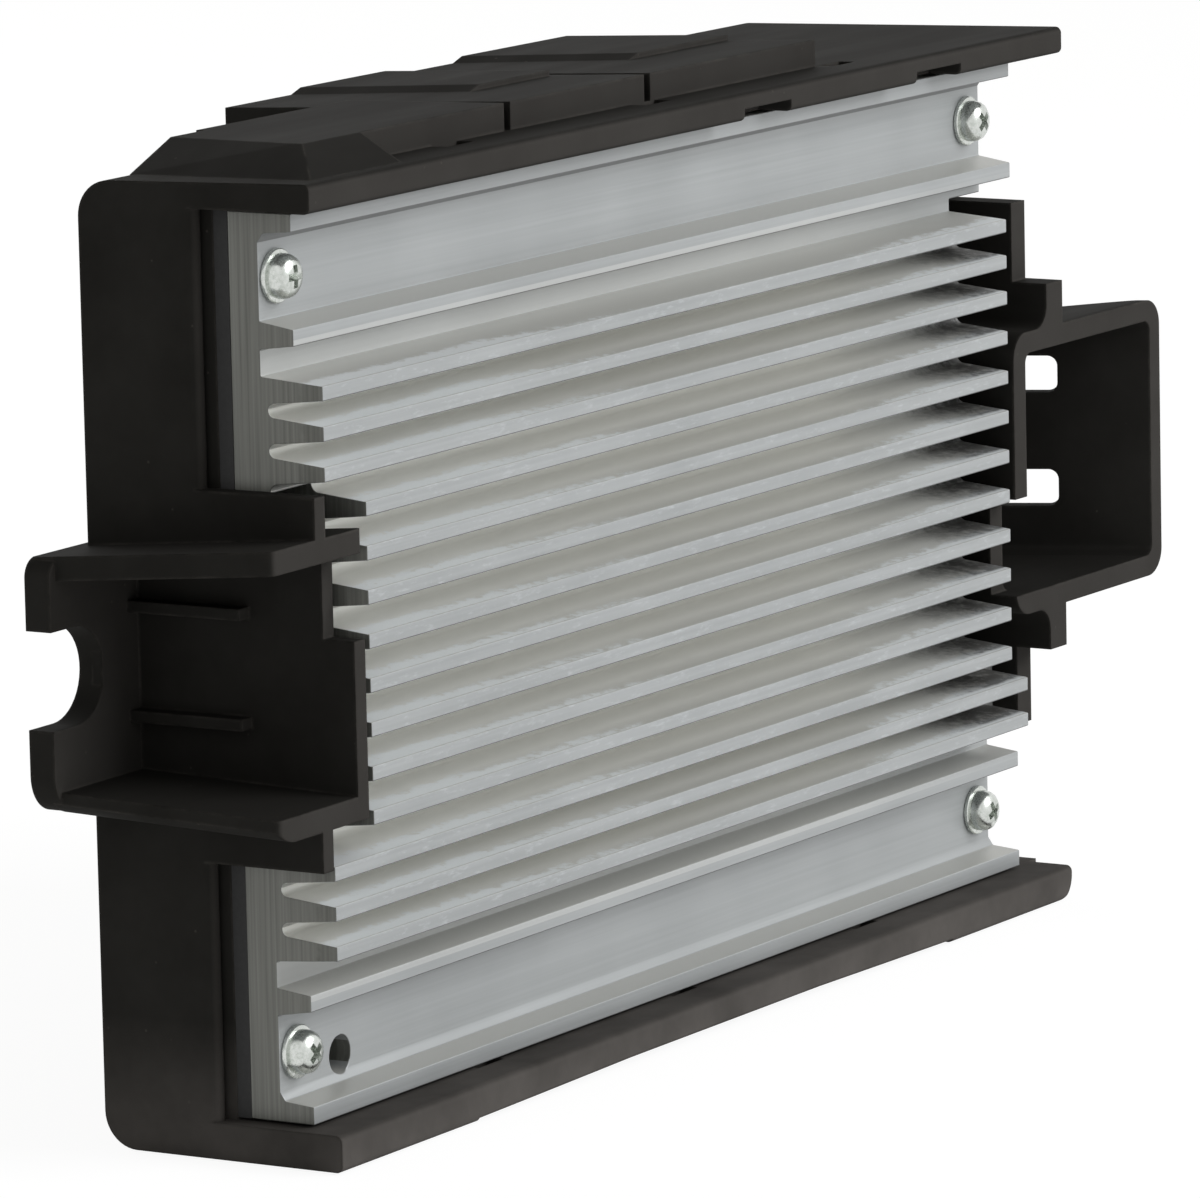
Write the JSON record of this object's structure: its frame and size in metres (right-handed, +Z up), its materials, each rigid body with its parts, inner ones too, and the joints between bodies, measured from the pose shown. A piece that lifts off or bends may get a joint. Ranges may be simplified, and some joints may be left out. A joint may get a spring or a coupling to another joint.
{
  "type": "blower motor resistor",
  "caption": "Finned aluminium heat sink screwed into a moulded black housing with an open screw ear, a hooded clip and a rear connector; sets the speed of a heater fan.",
  "frame": {"origin": "middle of the bounding box at its bottom, on the plane of the housing's lower face", "axes": "+X along the fins towards the hooded clip, +Y from the fins back to the connector, +Z up"},
  "size_m": [0.19, 0.0592, 0.1029],
  "materials": {
    "housing_plastic": "moulded black, satin",
    "extruded_aluminium": "as extruded, matte",
    "zinc_screw": "bright zinc",
    "seal_rubber": "matte",
    "board_laminate": "solder mask",
    "package_black": "moulded epoxy",
    "pad_silicone": "matte",
    "clip_steel": "spring steel",
    "shunt_alloy": "plain",
    "capacitor_sleeve": "shrink sleeve",
    "ferrite": "sintered",
    "copper_wire": "enamelled",
    "varistor_coat": "dipped",
    "fuse_ceramic": "glazed",
    "tinned_terminal": "tin plated",
    "carrier_plastic": "moulded"
  },
  "bodies": {
    "root": {"housing": "housing_plastic", "heat_sink": "extruded_aluminium", "heat_sink_screws": "zinc_screw", "perimeter_seal": "seal_rubber", "circuit_board": "board_laminate", "board_screws": "zinc_screw", "left_transistor": "package_black", "right_transistor": "package_black", "left_insulating_pad": "pad_silicone", "right_insulating_pad": "pad_silicone", "left_clip": "clip_steel", "right_clip": "clip_steel", "clip_screws": "zinc_screw", "shunt_strip": "shunt_alloy", "filter_capacitor": "capacitor_sleeve", "choke_core": "ferrite", "choke_winding": "copper_wire", "surge_varistor": "varistor_coat", "thermal_fuse": "fuse_ceramic", "freewheel_diode": "package_black", "control_chip": "package_black", "chip_resistors": "package_black", "temperature_sensor": "package_black", "supply_blade": "tinned_terminal", "motor_blade": "tinned_terminal", "signal_pins": "tinned_terminal", "terminal_carrier": "carrier_plastic"}
  },
  "joints": []
}
